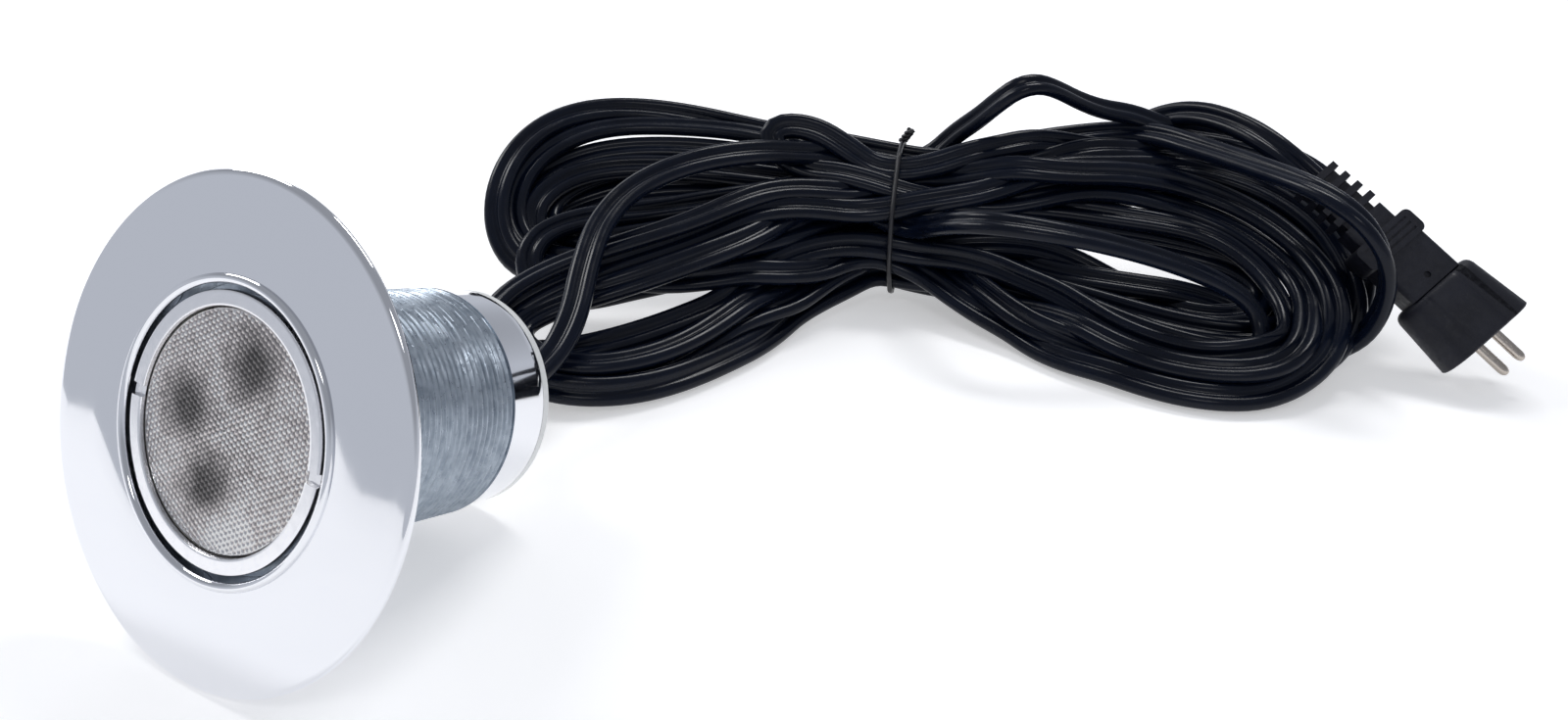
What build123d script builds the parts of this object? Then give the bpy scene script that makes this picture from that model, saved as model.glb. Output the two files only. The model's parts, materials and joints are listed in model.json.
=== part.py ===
from build123d import *
from math import asin, atan2, cos, degrees, hypot, pi, radians, sin, tan
import os

# Underwater pool light: a round chrome faceplate on a threaded housing, a beaded lens held by a
# slotted ring that screws out, three LEDs with their optics behind it, and a flat twin cord that
# is tied in a hank and ends in a two-pin plug.  Millimetres.
#
# The light is built about its own axis: Z = 0 is the plane of the faceplate's front, +Z points
# out of the front, +Y is up along the face.  It is then laid on its rim and its rear edge, as it
# rests on a flat surface, with the front facing -Y.  The part's origin is on that surface, in the
# middle of the light.  The cord, its tie and its plug are built where they lie.

# --- driving dimensions -------------------------------------------------------------------------
FACE_OD = 97.0
FACE_T = 1.8
BEAD_OD = 58.7
MOUTH_R = 27.4          # radius of the faceplate's mouth, inside the bead
COLLAR_DEPTH = 10.0
THREAD_OD = 50.0        # 1.5 mm pitch
THREAD_END = 52.8       # depths are measured back from the face plane
BORE_R = 22.5
BARREL_OD = 48.3
BARREL_END = 63.3
DISC_END = 65.4

RING_OD = 52.4
RING_ID = 46.3
RING_THREAD_R = 25.4
RING_CLEARANCE = 0.05
RING_FACE = 0.3
RING_T = 1.2
RING_SKIRT_END = 7.0
RING_SLOT_W = 2.2
RING_SLOT_DEPTH = 0.8
RING_SLOT_ANGLE = -4.0

LENS_R = 23.95
LENS_BACK = 6.0
SEAT_DEPTH = 8.0
OPTIC_CIRCLE_R = 11.5
OPTIC_ANGLES = (60.0, 180.0, 300.0)
OPTIC_R = 9.0
OPTIC_TOP = 9.5
BOARD_FACE = 20.2
BOARD_T = 1.6
SINK_BASE_T = 4.0
SINK_END = 40.0
FIN_COUNT = 12
DRIVER_FACE = 43.0

CORD_R = 3.0            # round tube of the same section area as the 7.9 x 3.9 flat twin cord
GLAND_END = 69.0
TIE_WIRE_R = 0.75

SKIRT_W = 28.0
SKIRT_SHOULDER_W = 25.4
SKIRT_L = 18.7
SKIRT_T = 15.0
NECK_W = 16.6
NECK_T = 12.0
NECK_L = 12.4
BAND_L = 7.4
STEP_L = 5.4
FIN_PITCH = 4.1
PIN_R = 1.15
PIN_SPACING = 5.8
PIN_L = 10.0
PIN_TIP = 0.6
PIN_TAIL_R = 0.9
PIN_TAIL_L = 10.0

SMALL_GAP = 0.1

# --- where the light, the plug and the cord lie -------------------------------------------------
RIM_ROUND = 0.85
REAR_ROUND = 0.6
rim_r = FACE_OD / 2
rear_r = BARREL_OD / 2
rim_centre = (rim_r - RIM_ROUND, -FACE_T / 2)
rear_centre = (rear_r - REAR_ROUND, -(DISC_END - REAR_ROUND))
rise = rim_centre[0] - rear_centre[0]
run = rim_centre[1] - rear_centre[1]
TILT = atan2(rise, run) + asin((RIM_ROUND - REAR_ROUND) / hypot(rise, run))

PLUG_FACE = Vector(203.4, 202.8, 13.4)
PLUG_AXIS = Vector(0.823, -0.170, -0.543)
PLUG_WIDTH = Vector(0.518, 0.617, 0.592)

# Hank: outline of the tied coils in plan, waist at the tie
HANK_BOTTOM = 1.8
HANK_TOP = 40.0
HANK_OUTLINE = [
    (-88, 138), (-78, 114), (-45, 110), (0, 114), (30, 140), (46, 166),
    (70, 160), (100, 152), (135, 147), (162, 152), (175, 172), (170, 186),
    (138, 192), (136, 215), (128, 234), (95, 246), (62, 232), (33, 208),
    (5, 197), (-40, 188), (-75, 170),
]
# the lowest coils reach forward, close behind the light's rear end
APRON_TOP = 13.0
APRON_OUTLINE = [(-45, 112), (-20, 92), (2, 62), (17, 66), (27, 95), (34, 145), (0, 120)]
TIE_CENTRE = (39.6, 187.0)
TIE_HEADING = 19.0
TIE_HALF_DEPTH = 23.6
TIE_CORNER_R = 7.0
TIE_TWIST_AT = 14.0
TIE_TWIST_L = 9.0

LEAD_START = 13.5         # straight length behind the gland
LEAD_ROUTE = [
    (1.5, 63, 18.5), (-0.5, 75, 25), (-7, 88, 32.5), (-12, 102, 39.5),
    (-12, 118, 44.5), (-4, 134, 48), (8, 150, 48.5), (17, 166, 44.5), (22, 177, 39.6),
]
TAIL_START = 11.0         # straight length behind the plug's strain relief
TAIL_ROUTE = [(131, 224, 55.5), (115, 233, 55), (101, 238.5, 48.5), (93, 239.5, 39.6)]


def ring(outer, inner, top, bottom):
    """A tube about the axis, from depth top to depth bottom."""
    body = Cylinder(outer, bottom - top)
    if inner:
        body -= Cylinder(inner, bottom - top)
    return Pos(0, 0, -(top + bottom) / 2) * body


def disc(radius, top, bottom):
    return ring(radius, 0, top, bottom)


def around(radius, angle, shape):
    """The shape moved out to a point of a circle about the axis."""
    return Pos(radius * cos(radians(angle)), radius * sin(radians(angle)), 0) * shape


def edges_at(shape, radius, tolerance=0.02):
    return [e for e in shape.edges().filter_by(GeomType.CIRCLE) if abs(e.radius - radius) < tolerance]


# --- housing ------------------------------------------------------------------------------------
def faceplate():
    """Thin polished disc with a rounded rim, a rolled bead round its mouth and a short collar."""
    plate = ring(rim_r, MOUTH_R, 0, FACE_T)
    plate = fillet(edges_at(plate, rim_r), RIM_ROUND)
    bead_r = (BEAD_OD / 2 - MOUTH_R) / 2
    bead = Pos(0, 0, -0.45) * Torus(MOUTH_R + bead_r, bead_r)
    collar = ring(MOUTH_R + 1.0, MOUTH_R, FACE_T - 0.5, COLLAR_DEPTH)
    return plate + bead + collar


def threaded_body():
    """Threaded sleeve: a head that seats in the faceplate's collar, then the long outside thread."""
    head = ring(MOUTH_R - RING_CLEARANCE, RING_THREAD_R + RING_CLEARANCE, 1.8, SEAT_DEPTH)
    seat = ring(MOUTH_R - RING_CLEARANCE, 21.5, SEAT_DEPTH, COLLAR_DEPTH)
    sleeve = ring(THREAD_OD / 2, BORE_R, COLLAR_DEPTH, THREAD_END)
    return head + seat + sleeve


def rear_barrel():
    """Smooth rear band with a spigot that slides into the sleeve and a groove for its seal."""
    band = ring(rear_r, 20.0, THREAD_END, BARREL_END)
    spigot = ring(BORE_R, 20.0, 46.0, THREAD_END) - ring(BORE_R + 1, 21.3, 48.6, 50.4)
    return band + spigot


def barrel_seal():
    return ring(BORE_R, 21.3, 48.6, 50.4)


def rear_disc():
    """Off-white end disc with a spigot and a central hole for the cord's gland."""
    plate = disc(rear_r, BARREL_END, DISC_END)
    plate = fillet(edges_at(plate, rear_r), REAR_ROUND)
    spigot = disc(20.0, 59.5, BARREL_END) - ring(21.0, 19.0, 60.8, 62.4)
    return plate + spigot - disc(5.0, 59.0, DISC_END + 1)


def disc_seal():
    return ring(20.0, 19.0, 60.8, 62.4)


def cord_gland():
    """Rubber grommet through the end disc."""
    inside = ring(7.0, CORD_R, 58.0, 59.5)
    waist = ring(5.0, CORD_R, 59.5, DISC_END)
    outside = ring(7.0, CORD_R, DISC_END, GLAND_END)
    outside = chamfer(outside.edges().group_by(Axis.Z)[0].sort_by(SortBy.RADIUS)[-1], 1.5)
    return inside + waist + outside


# --- front parts --------------------------------------------------------------------------------
def lens_ring():
    """Flat ring with two spanner slots and a skirt that screws into the housing's head."""
    face = ring(RING_OD / 2, RING_ID / 2, RING_FACE, RING_FACE + RING_T)
    face = chamfer(edges_at(face, RING_OD / 2), 0.25)
    skirt = ring(RING_THREAD_R, 24.3, RING_FACE + RING_T, RING_SKIRT_END)
    slot = Pos(0, 0, -RING_FACE) * Box(RING_OD + 2, RING_SLOT_W, 2 * RING_SLOT_DEPTH)
    return face + skirt - Rot(0, 0, RING_SLOT_ANGLE) * slot


def slip_washer():
    """Washer between the ring's lip and the lens: it rides out on the ring and doesn't turn."""
    return ring(24.0, 23.2, 1.55, 2.1)


def lens():
    """Lens disc with a raised front window inside the ring."""
    return disc(22.8, 1.2, 2.3) + disc(LENS_R, 2.2, LENS_BACK)


def lens_gasket():
    return ring(LENS_R, 21.7, LENS_BACK, SEAT_DEPTH)


# --- light engine -------------------------------------------------------------------------------
def optic_holder():
    plate = disc(22.2, 10.1, 12.1)
    for angle in OPTIC_ANGLES:
        plate -= around(OPTIC_CIRCLE_R, angle, disc(OPTIC_R + SMALL_GAP, 9.0, 13.0))
    return plate


def collimator(angle):
    """Clear conical optic over one LED."""
    flange = disc(OPTIC_R, OPTIC_TOP, 12.0)
    cone_l = BOARD_FACE - 1.2 - 12.0
    cone = Pos(0, 0, -(12.0 + cone_l / 2)) * Cone(3.4, OPTIC_R - 0.3, cone_l)
    return around(OPTIC_CIRCLE_R, angle, flange + cone)


def led(angle):
    base = Pos(0, 0, -(BOARD_FACE - 0.3)) * Box(3.5, 3.5, 0.6)
    dome = disc(1.3, BOARD_FACE - 1.1, BOARD_FACE - 0.6)
    return around(OPTIC_CIRCLE_R, angle, base + dome)


SCREW_ANGLES = (0.0, 120.0, 240.0)
SCREW_CIRCLE_R = 16.0
SCREW_R = 1.45


def led_board():
    plate = disc(21.8, BOARD_FACE, BOARD_FACE + BOARD_T)
    for angle in SCREW_ANGLES:
        plate -= around(SCREW_CIRCLE_R, angle, disc(SCREW_R + 0.2, 19.0, 23.0))
    return plate


def board_screws():
    """Three identical screws that hold the board on the heat sink."""
    solids = []
    for angle in SCREW_ANGLES:
        head = disc(2.6, BOARD_FACE - 1.8, BOARD_FACE)
        shank = disc(SCREW_R, BOARD_FACE, BOARD_FACE + BOARD_T + 3.2)
        socket = extrude(Pos(0, 0, -(BOARD_FACE - 0.9)) * RegularPolygon(1.2, 6), 2.0)
        solids.append(around(SCREW_CIRCLE_R, angle, head + shank - socket))
    return Compound(children=solids)


def heat_sink():
    top = BOARD_FACE + BOARD_T
    base = disc(22.3, top, top + SINK_BASE_T)
    hub = disc(8.0, top + 1, SINK_END)
    fin_l = SINK_END - top - SINK_BASE_T
    body = base + hub
    for i in range(FIN_COUNT):
        fin = Pos(13.5, 0, -(SINK_END - fin_l / 2 - 0.25)) * Box(13.0, 1.2, fin_l + 0.5)
        body += Rot(0, 0, (i + 0.5) * 360 / FIN_COUNT) * fin
    for angle in SCREW_ANGLES:
        body -= around(SCREW_CIRCLE_R, angle, disc(SCREW_R, top - 1, BOARD_FACE + BOARD_T + 3.3))
    return body


def standoffs():
    """Three identical posts between the heat sink's base and the driver board."""
    top = BOARD_FACE + BOARD_T + SINK_BASE_T
    return Compound(children=[around(16.5, a, disc(1.5, top, DRIVER_FACE)) for a in SCREW_ANGLES])


def driver_board():
    return disc(19.0, DRIVER_FACE, DRIVER_FACE + BOARD_T)


def capacitor():
    can = disc(4.0, DRIVER_FACE + BOARD_T, DRIVER_FACE + BOARD_T + 8.0)
    return Pos(10, 6, 0) * can


def inductor():
    core = ring(5.0, 2.2, DRIVER_FACE + BOARD_T, DRIVER_FACE + BOARD_T + 5.0)
    return Pos(-10, 6, 0) * core


def rectifier():
    return Pos(0, -11, -(DRIVER_FACE + BOARD_T + 1.5)) * Box(8, 6, 3)


LEAD_WIRE_X = 2.0
LEAD_WIRE_R = 0.9


def inner_cord():
    """The cord's end inside the gland, split into its two wires up to the driver board."""
    stub = disc(CORD_R, 56.0, GLAND_END)
    wire = disc(LEAD_WIRE_R, DRIVER_FACE + BOARD_T, 57.0)
    return stub + Pos(LEAD_WIRE_X, 0, 0) * wire + Pos(-LEAD_WIRE_X, 0, 0) * wire


def splices():
    """Two identical crimp sleeves on the wires."""
    sleeve = ring(1.6, LEAD_WIRE_R, 48.0, 53.0)
    return Compound(children=[Pos(x, 0, 0) * sleeve for x in (-LEAD_WIRE_X, LEAD_WIRE_X)])


# --- cord, tie and plug -------------------------------------------------------------------------
def routed_tube(name, face, start_length, route):
    """Round tube from an exit face, along straight runs joined by the largest arcs they allow."""
    start = (face * Pos(0, 0, -start_length)).position
    points = [face.position, start] + [Vector(*p) for p in route]
    radii = []
    for before, point, after in zip(points, points[1:], points[2:]):
        turn = radians((point - before).get_angle(after - point))
        shorter = min((point - before).length, (after - point).length)
        radii.append(0.45 * shorter / tan(turn / 2))
    path = FilletPolyline(*points, radius=radii)
    section = Plane(path @ 0, z_dir=path % 0) * Circle(CORD_R)
    tube = sweep(section, path)
    wanted = path.length * pi * CORD_R**2
    print(name, "radii", [round(r, 1) for r in radii], "length", round(path.length, 1),
          "volume ratio", round(tube.volume / wanted, 4))
    return tube


def tie_plane():
    """Plane square to the hank's run at its waist."""
    heading = Vector(cos(radians(TIE_HEADING)), sin(radians(TIE_HEADING)), 0)
    middle = Vector(*TIE_CENTRE, (HANK_TOP + HANK_BOTTOM) / 2)
    return Plane(middle, x_dir=Vector(-heading.Y, heading.X, 0), z_dir=heading)


def hank():
    """Closed outer shape of the tied coils: two fanned ends, a waist and the low front apron."""
    coils = extrude(Pos(0, 0, HANK_BOTTOM) * make_face(Polyline(*HANK_OUTLINE, close=True)),
                    HANK_TOP - HANK_BOTTOM)
    apron = extrude(Pos(0, 0, 0.4) * make_face(Polyline(*APRON_OUTLINE, close=True)), APRON_TOP - 0.4)
    groove_w = 2 * TIE_WIRE_R + 0.6
    waist = Box(2 * (TIE_HALF_DEPTH - TIE_WIRE_R) - 0.2, HANK_TOP - HANK_BOTTOM - 0.2, groove_w)
    groove = Box(90, 90, groove_w) - fillet(waist.edges().filter_by(Axis.Z), TIE_CORNER_R - TIE_WIRE_R)
    return coils + apron - Location(tie_plane()) * groove


def wire_tie():
    """Thin wire once round the hank's waist, its ends twisted together on top."""
    height = HANK_TOP - HANK_BOTTOM + 2 * TIE_WIRE_R
    place = Location(tie_plane())
    loop = place * RectangleRounded(2 * TIE_HALF_DEPTH, height, TIE_CORNER_R).wire()
    section = Plane(loop @ 0, z_dir=loop % 0) * Circle(TIE_WIRE_R)
    turn = sweep(section, loop)
    twist_place = place * Pos(TIE_TWIST_AT, height / 2 + TIE_TWIST_L / 2, 0) * Rot(90, 0, 0)
    return turn + twist_place * Cylinder(1.3, TIE_TWIST_L)


PLUG_PLANE = Plane(PLUG_FACE, x_dir=PLUG_WIDTH, z_dir=PLUG_AXIS)
NECK_END = SKIRT_L + NECK_L
BAND_END = NECK_END + BAND_L
STEP_END = BAND_END + STEP_L
FIN_TOTAL = 4
RELIEF_END = STEP_END + FIN_TOTAL * FIN_PITCH


def plug_skirt():
    """Wide block of the plug, tapering to rounded shoulders, with a raised panel on each face."""
    half, shoulder = SKIRT_W / 2, SKIRT_SHOULDER_W / 2
    outline = Polyline((-half, 0), (half, 0), (shoulder, -SKIRT_L), (-shoulder, -SKIRT_L), close=True)
    block = extrude(Plane.XZ * make_face(outline), SKIRT_T / 2, both=True)
    block = fillet(block.edges().filter_by(Axis.Y).group_by(Axis.Z)[0], 3.5)
    panel = Pos(0, 0, -SKIRT_L / 2) * Box(9.0, SKIRT_T + 0.8, SKIRT_L - 4)
    block += panel
    for side in (-1, 1):
        block -= Pos(side * PIN_SPACING / 2, 0, -PIN_TAIL_L / 2) * Cylinder(PIN_TAIL_R, PIN_TAIL_L)
    return block


def plug_pins():
    """Two identical round pins with chamfered tips, each on a thinner tail moulded into the plug."""
    pin = Pos(0, 0, PIN_L / 2) * Cylinder(PIN_R, PIN_L)
    pin = chamfer(pin.edges().sort_by(Axis.Z)[-1], PIN_TIP)
    pin += Pos(0, 0, -PIN_TAIL_L / 2) * Cylinder(PIN_TAIL_R, PIN_TAIL_L)
    return Compound(children=[Pos(side * PIN_SPACING / 2, 0, 0) * pin for side in (-1, 1)])


def plug_neck():
    """Neck with a mould dimple, then a rounded grip band with ribs and a narrower step."""
    neck = Pos(0, 0, -(SKIRT_L + NECK_L / 2)) * Box(NECK_W, NECK_T, NECK_L)
    neck = fillet(neck.edges().filter_by(Axis.Z), 1.5)
    neck -= Pos(0, NECK_T / 2, -(SKIRT_L + 3.2)) * Rot(90, 0, 0) * Cylinder(0.9, 1.6)
    neck -= Pos(0, -NECK_T / 2, -(SKIRT_L + 3.2)) * Rot(90, 0, 0) * Cylinder(0.9, 1.6)
    band = Pos(0, 0, -(NECK_END + BAND_L / 2)) * Box(NECK_W + 2.4, NECK_T + 1.2, BAND_L)
    band = fillet(band.edges().filter_by(Axis.Y), 1.8)
    for i in range(3):
        rib_z = -(NECK_END + 1.9 + i * 1.8)
        for side in (-1, 1):
            band -= Pos(0, side * (NECK_T / 2 + 0.6), rib_z) * Box(NECK_W - 2, 0.7, 0.6)
    step = Pos(0, 0, -(BAND_END + STEP_L / 2)) * Box(13.0, 10.0, STEP_L)
    return neck + band + fillet(step.edges().filter_by(Axis.Z), 1.2)


def plug_relief():
    """Finned strain relief: a slim core with rectangular fins."""
    core_l = RELIEF_END - STEP_END
    relief = Pos(0, 0, -(STEP_END + core_l / 2)) * Box(9.6, 6.4, core_l)
    for i in range(FIN_TOTAL):
        fin_z = -(STEP_END + FIN_PITCH * (i + 1) - 1.0)
        relief += Pos(0, 0, fin_z) * Box(13.6 - 0.5 * i, 10.4 - 0.4 * i, 2.0)
    return relief


# --- placing and writing ------------------------------------------------------------------------
tilted = Rot(90 - degrees(TILT), 0, 0)
envelope = (tilted * Compound(children=[faceplate(), rear_disc()])).bounding_box()
LIGHT = Pos(0, -(envelope.min.Y + envelope.max.Y) / 2, -envelope.min.Z) * tilted
PLUG = Location(PLUG_PLANE)

light_nodes = {
    "faceplate": faceplate(),
    "threaded_body": threaded_body(),
    "rear_barrel": rear_barrel(),
    "barrel_seal": barrel_seal(),
    "rear_disc": rear_disc(),
    "disc_seal": disc_seal(),
    "cord_gland": cord_gland(),
    "lens_ring": lens_ring(),
    "slip_washer": slip_washer(),
    "lens": lens(),
    "lens_gasket": lens_gasket(),
    "optic_holder": optic_holder(),
    "led_board": led_board(),
    "board_screws": board_screws(),
    "heat_sink": heat_sink(),
    "standoffs": standoffs(),
    "driver_board": driver_board(),
    "capacitor": capacitor(),
    "inductor": inductor(),
    "rectifier": rectifier(),
    "inner_cord": inner_cord(),
    "splices": splices(),
}
for number, angle in enumerate(OPTIC_ANGLES, start=1):
    light_nodes[f"collimator_{number}"] = collimator(angle)
    light_nodes[f"led_{number}"] = led(angle)

plug_nodes = {
    "plug_skirt": plug_skirt(),
    "plug_pins": plug_pins(),
    "plug_neck": plug_neck(),
    "plug_relief": plug_relief(),
}

gland_face = LIGHT * Pos(0, 0, -GLAND_END)
relief_face = PLUG * Pos(0, 0, -RELIEF_END)
loose_nodes = {
    "cord_lead": routed_tube("cord_lead", gland_face, LEAD_START, LEAD_ROUTE),
    "cord_tail": routed_tube("cord_tail", relief_face, TAIL_START, TAIL_ROUTE),
    "cord_hank": hank(),
    "wire_tie": wire_tie(),
}

os.makedirs("parts", exist_ok=True)
for name, shape in light_nodes.items():
    export_step(LIGHT * shape, f"parts/{name}.step")
for name, shape in plug_nodes.items():
    export_step(PLUG * shape, f"parts/{name}.step")
for name, shape in loose_nodes.items():
    export_step(shape, f"parts/{name}.step")

# --- places the record states -------------------------------------------------------------------
axis = (LIGHT * Pos(0, 0, 1)).position - LIGHT.position
print("tilt", round(degrees(TILT), 3), "face centre", LIGHT.position, "front axis", axis)
for label, depth in (("back of plate", FACE_T), ("thread middle", (COLLAR_DEPTH + THREAD_END) / 2),
                     ("thread end", THREAD_END), ("gland face", GLAND_END)):
    print(label, (LIGHT * Pos(0, 0, -depth)).position)
for side in (-1, 1):
    print("pin middle", (PLUG * Pos(side * PIN_SPACING / 2, 0, (PIN_L - PIN_TIP) / 2)).position)
print("plug axis", (PLUG * Pos(0, 0, 1)).position - PLUG.position, "relief", relief_face.position)
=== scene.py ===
import json
import math

import bmesh
import bpy
import numpy as np
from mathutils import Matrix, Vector


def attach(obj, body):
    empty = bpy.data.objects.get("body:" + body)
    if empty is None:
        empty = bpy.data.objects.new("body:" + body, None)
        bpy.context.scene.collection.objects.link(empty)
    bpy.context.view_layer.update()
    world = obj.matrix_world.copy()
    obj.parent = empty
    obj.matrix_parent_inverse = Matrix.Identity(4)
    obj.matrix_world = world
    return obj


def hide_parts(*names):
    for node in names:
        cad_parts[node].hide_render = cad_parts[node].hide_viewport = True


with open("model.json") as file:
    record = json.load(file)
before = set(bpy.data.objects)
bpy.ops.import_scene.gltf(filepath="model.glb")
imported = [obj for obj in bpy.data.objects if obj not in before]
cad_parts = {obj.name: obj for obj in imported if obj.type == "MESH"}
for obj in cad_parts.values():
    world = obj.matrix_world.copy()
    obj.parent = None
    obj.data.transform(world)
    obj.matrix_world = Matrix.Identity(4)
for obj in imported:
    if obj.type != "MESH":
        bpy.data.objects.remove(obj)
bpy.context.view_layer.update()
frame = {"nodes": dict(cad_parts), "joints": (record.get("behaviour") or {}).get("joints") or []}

MM = 0.001

# --- the light's own axes: origin in the middle of the face, z out of the front ----------------------
ring_turn = next(j for j in frame["joints"] if j["name"] == "ring_turn")
face_centre = np.array(ring_turn["pos_m"]) / MM
front = np.array(ring_turn["axis"]) / np.linalg.norm(ring_turn["axis"])
sideways = np.array([1.0, 0.0, 0.0])
upward = np.cross(front, sideways)


def unit(vectors):
    """Vectors of length one."""
    return vectors / np.maximum(np.linalg.norm(vectors, axis=-1, keepdims=True), 1e-9)


def in_light(points):
    """Points given as (across, up the face, out of the front), in mm, as row points in mm."""
    return face_centre + points @ np.array([sideways, upward, front])


# --- meshes ------------------------------------------------------------------------------------------
def mesh_piece(name, points, faces, body, surface, crease=35.0):
    """A smooth-shaded piece from points in mm; edges sharper than crease degrees stay sharp."""
    mesh = bpy.data.meshes.new(name)
    mesh.from_pydata([tuple(p) for p in np.asarray(points) * MM], [], faces)
    shape = bmesh.new()
    shape.from_mesh(mesh)
    if shape.calc_volume(signed=True) < 0:
        bmesh.ops.reverse_faces(shape, faces=shape.faces)
        shape.to_mesh(mesh)
    shape.free()
    mesh.polygons.foreach_set("use_smooth", [True] * len(mesh.polygons))
    mesh.set_sharp_from_angle(angle=math.radians(crease))
    mesh.materials.append(surface.material)
    piece = bpy.data.objects.new(name, mesh)
    bpy.context.scene.collection.objects.link(piece)
    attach(piece, body)
    return piece


def grid_faces(rows, columns, wrap_rows=False):
    """Quads between rows of points that each close on themselves."""
    faces = []
    for i in range(rows if wrap_rows else rows - 1):
        here, there = i * columns, (i + 1) % rows * columns
        for j in range(columns):
            k = (j + 1) % columns
            faces.append((here + j, here + k, there + k, there + j))
    return faces


def end_faces(rows, columns):
    """The faces that close the first and the last row, facing the same side as grid_faces."""
    count = rows * columns
    return [tuple(range(columns))[::-1], tuple(range(count - columns, count))]


def lathe(name, profile, body, surface, angles=256, warp=None, closed=True,
          crease=35.0):
    """A turned piece. The profile is a loop of (radius, depth behind the face), in mm, and warp moves
    its points."""
    profile = np.array(profile, float)
    if np.isscalar(angles):
        angles = np.arange(angles) * 2 * math.pi / angles
    radius = np.repeat(profile[:, :1], len(angles), 1)
    depth = np.repeat(profile[:, 1:], len(angles), 1)
    theta = np.repeat(angles[None], len(profile), 0)
    if warp:
        radius, depth = warp(radius, depth, theta)
    local = np.stack([radius * np.cos(theta), radius * np.sin(theta), -depth], -1).reshape(-1, 3)
    faces = grid_faces(len(profile), len(angles), wrap_rows=closed)
    return mesh_piece(name, in_light(local), faces, body, surface, crease)


def arc(centre, radius, start, end, steps):
    """Profile points on an arc; angles in degrees, 0 outward and 90 towards the front."""
    turns = np.radians(np.linspace(start, end, steps))
    return [(centre[0] + radius * math.cos(t), centre[1] - radius * math.sin(t)) for t in turns]


def span(start, end, steps):
    """Profile points on a straight line, both ends left out."""
    return [tuple(p) for p in np.linspace(start, end, steps + 2)[1:-1]]


# --- surfaces ----------------------------------------------------------------------------------------
class Surface:
    """A node material: one Principled shader with patterns that vary its colour, gloss and relief."""

    def __init__(self, name, colour, roughness, **sockets):
        self.material = bpy.data.materials.new(name)
        self.material.use_nodes = True
        self.tree = self.material.node_tree
        self.shader = self.tree.nodes["Principled BSDF"]
        self.shader.inputs["Base Color"].default_value = (*colour, 1)
        self.shader.inputs["Roughness"].default_value = roughness
        for socket, value in sockets.items():
            self.shader.inputs[socket.replace("_", " ")].default_value = value
        self.coordinates = self.tree.nodes.new("ShaderNodeTexCoord").outputs["Object"]
        self.last_bump = None

    def add(self, kind, links=(), **values):
        """A new node with these values on its sockets and these outputs linked to them."""
        node = self.tree.nodes.new(kind)
        for socket, value in values.items():
            node.inputs[socket.replace("_", " ")].default_value = value
        for socket, output in links:
            self.tree.links.new(output, node.inputs[socket])
        return node

    def noise(self, per_mm, detail=3.0, stretch=(1, 1, 1), distortion=0.0):
        """A cloudy pattern with features about 1 / per_mm millimetres across."""
        place = self.add("ShaderNodeMapping", [("Vector", self.coordinates)], Scale=stretch)
        pattern = self.add("ShaderNodeTexNoise", [("Vector", place.outputs[0])], Scale=per_mm / MM,
                           Detail=detail, Distortion=distortion)
        return pattern.outputs[0]

    def behind_face(self, full, start=0.0):
        """0 at start and 1 at full millimetres behind the light's face plane."""
        from_face = self.add("ShaderNodeVectorMath", [("Vector", self.coordinates)])
        from_face.operation = "SUBTRACT"
        from_face.inputs[1].default_value = (face_centre - start * front) * MM
        along = self.add("ShaderNodeVectorMath", [(0, from_face.outputs[0])])
        along.operation = "DOT_PRODUCT"
        along.inputs[1].default_value = -front / ((full - start) * MM)
        return along.outputs["Value"]

    def from_nearest(self, places):
        """Millimetres to the nearest of these places."""
        nearest = None
        for place in places:
            away = self.add("ShaderNodeVectorMath", [("Vector", self.coordinates)])
            away.operation = "DISTANCE"
            away.inputs[1].default_value = place * MM
            if nearest is None:
                nearest = away.outputs["Value"]
                continue
            smaller = self.add("ShaderNodeMath", [(0, nearest), (1, away.outputs["Value"])])
            smaller.operation = "MINIMUM"
            nearest = smaller.outputs[0]
        in_mm = self.add("ShaderNodeMath", [(0, nearest)])
        in_mm.operation = "DIVIDE"
        in_mm.inputs[1].default_value = MM
        return in_mm.outputs[0]

    def between(self, pattern, low, high, start=0.3, end=0.7):
        """The pattern stretched so that start gives low and end gives high."""
        node = self.add("ShaderNodeMapRange", [("Value", pattern)], From_Min=start, From_Max=end,
                        To_Min=low, To_Max=high)
        return node.outputs[0]

    def tint(self, pattern, low, high, start=0.3, end=0.7):
        """The colour low where the pattern is at start, and high where it is at end."""
        ramp = self.add("ShaderNodeValToRGB", [("Fac", pattern)])
        for element, place, colour in zip(ramp.color_ramp.elements, (start, end), (low, high)):
            element.position = place
            element.color = (*colour, 1)
        self.tree.links.new(ramp.outputs[0], self.shader.inputs["Base Color"])
        return self

    def dim(self, pattern, low, high, start=0.3, end=0.7):
        """The colour multiplied by low to high, as the pattern goes from start to end."""
        colour = self.shader.inputs["Base Color"].links[0].from_socket
        scaled = self.add("ShaderNodeVectorMath", [(0, colour)])
        scaled.operation = "SCALE"
        self.tree.links.new(self.between(pattern, low, high, start, end), scaled.inputs["Scale"])
        self.tree.links.new(scaled.outputs[0], self.shader.inputs["Base Color"])
        return self

    def gloss(self, pattern, low, high, start=0.3, end=0.7):
        """The roughness varied from low to high by the pattern."""
        rough = self.between(pattern, low, high, start, end)
        self.tree.links.new(rough, self.shader.inputs["Roughness"])
        return self

    def relief(self, pattern, height_mm, strength=1.0):
        """The pattern as bumps of this height, added to the relief already there."""
        bump = self.add("ShaderNodeBump", [("Height", pattern)], Strength=strength,
                        Distance=height_mm * MM)
        if self.last_bump:
            self.tree.links.new(self.last_bump, bump.inputs["Normal"])
        self.last_bump = bump.outputs[0]
        self.tree.links.new(self.last_bump, self.shader.inputs["Normal"])
        return self


chrome = Surface("chrome", (0.8, 0.81, 0.84), 0.05, Metallic=1.0)
chrome.gloss(chrome.noise(0.12), 0.035, 0.075).relief(chrome.noise(0.05, detail=1.0), 0.05, 0.25)

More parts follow.
